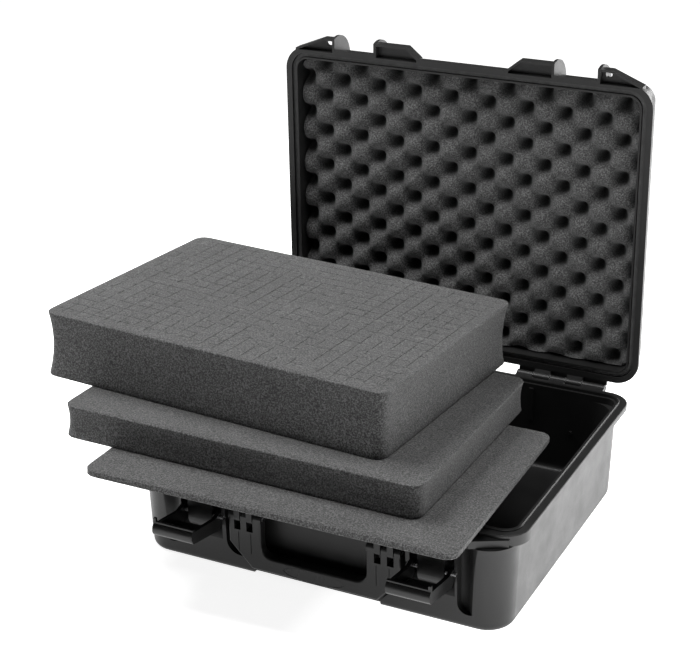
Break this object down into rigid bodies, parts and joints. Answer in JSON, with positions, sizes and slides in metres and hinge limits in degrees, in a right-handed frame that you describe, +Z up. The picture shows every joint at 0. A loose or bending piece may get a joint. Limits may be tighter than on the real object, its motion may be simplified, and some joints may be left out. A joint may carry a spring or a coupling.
{
  "type": "hard equipment case with foam inserts",
  "caption": "Hard-shell equipment case with an open hinged lid, swing latches, folding handle, egg-crate lid foam and loose foam inserts fanned out above the tub.",
  "frame": {"origin": "middle of the tub's flat underside, on the surface it stands on", "axes": "+X along the case's length to the right as seen from the latch side, +Y to the back where the hinges are, +Z up"},
  "size_m": [0.559, 0.5366, 0.4901],
  "materials": {
    "moulded_shell": "satin",
    "moulded_fittings": "satin",
    "badge": "gloss",
    "seal_rubber": "matte",
    "steel_pin": "satin",
    "foam": "matte"
  },
  "bodies": {
    "tub": {"base_shell": "moulded_shell", "hinge_pin_left": "steel_pin", "hinge_pin_right": "steel_pin", "latch_pin_left": "steel_pin", "latch_pin_right": "steel_pin", "handle_pin_left": "steel_pin", "handle_pin_right": "steel_pin", "purge_valve_body": "moulded_fittings", "purge_valve_seal": "seal_rubber", "purge_valve_nut": "moulded_fittings"},
    "lid": {"lid_shell": "moulded_shell", "lid_gasket": "seal_rubber", "lid_foam": "foam"},
    "latch_left": {"latch_lever_left": "moulded_fittings"},
    "latch_right": {"latch_lever_right": "moulded_fittings"},
    "handle": {"carry_handle": "moulded_fittings", "handle_badge": "badge"},
    "foam_sheet": {"bottom_foam_sheet": "foam"},
    "foam_middle": {"middle_foam_pad": "foam"},
    "foam_top": {"pluck_foam_pad": "foam"}
  },
  "joints": [
    {"name": "lid_hinge", "type": "hinge", "parent": "tub", "child": "lid", "pos_m": [0, 0.188, 0.1085], "axis": [1, 0, 0], "range_deg": [0, 90]},
    {"name": "latch_left_pivot", "type": "hinge", "parent": "tub", "child": "latch_left", "pos_m": [-0.1355, -0.193, 0.0628], "axis": [1, 0, 0], "range_deg": [-90, 0]},
    {"name": "latch_right_pivot", "type": "hinge", "parent": "tub", "child": "latch_right", "pos_m": [0.1355, -0.193, 0.0628], "axis": [1, 0, 0], "range_deg": [-90, 0]},
    {"name": "handle_pivot", "type": "hinge", "parent": "tub", "child": "handle", "pos_m": [0, -0.189, 0.0695], "axis": [1, 0, 0], "range_deg": [-90, 0]},
    {"name": "foam_slide", "type": "slide", "parent": "tub", "child": "foam_sheet", "axis": [0, -1, 0], "range_m": [0, 0.46]},
    {"name": "middle_lift", "type": "slide", "parent": "foam_sheet", "child": "foam_middle", "axis": [0.0246, 0.0603, 0.9979], "range_m": [0, 0.06]},
    {"name": "top_lift", "type": "slide", "parent": "foam_middle", "child": "foam_top", "axis": [0.0246, 0.0603, 0.9979], "range_m": [0, 0.1]}
  ],
  "couplings": [
    {"joint": "foam_slide", "follows": "lid_hinge", "m_per_rad": 0.29284}
  ]
}
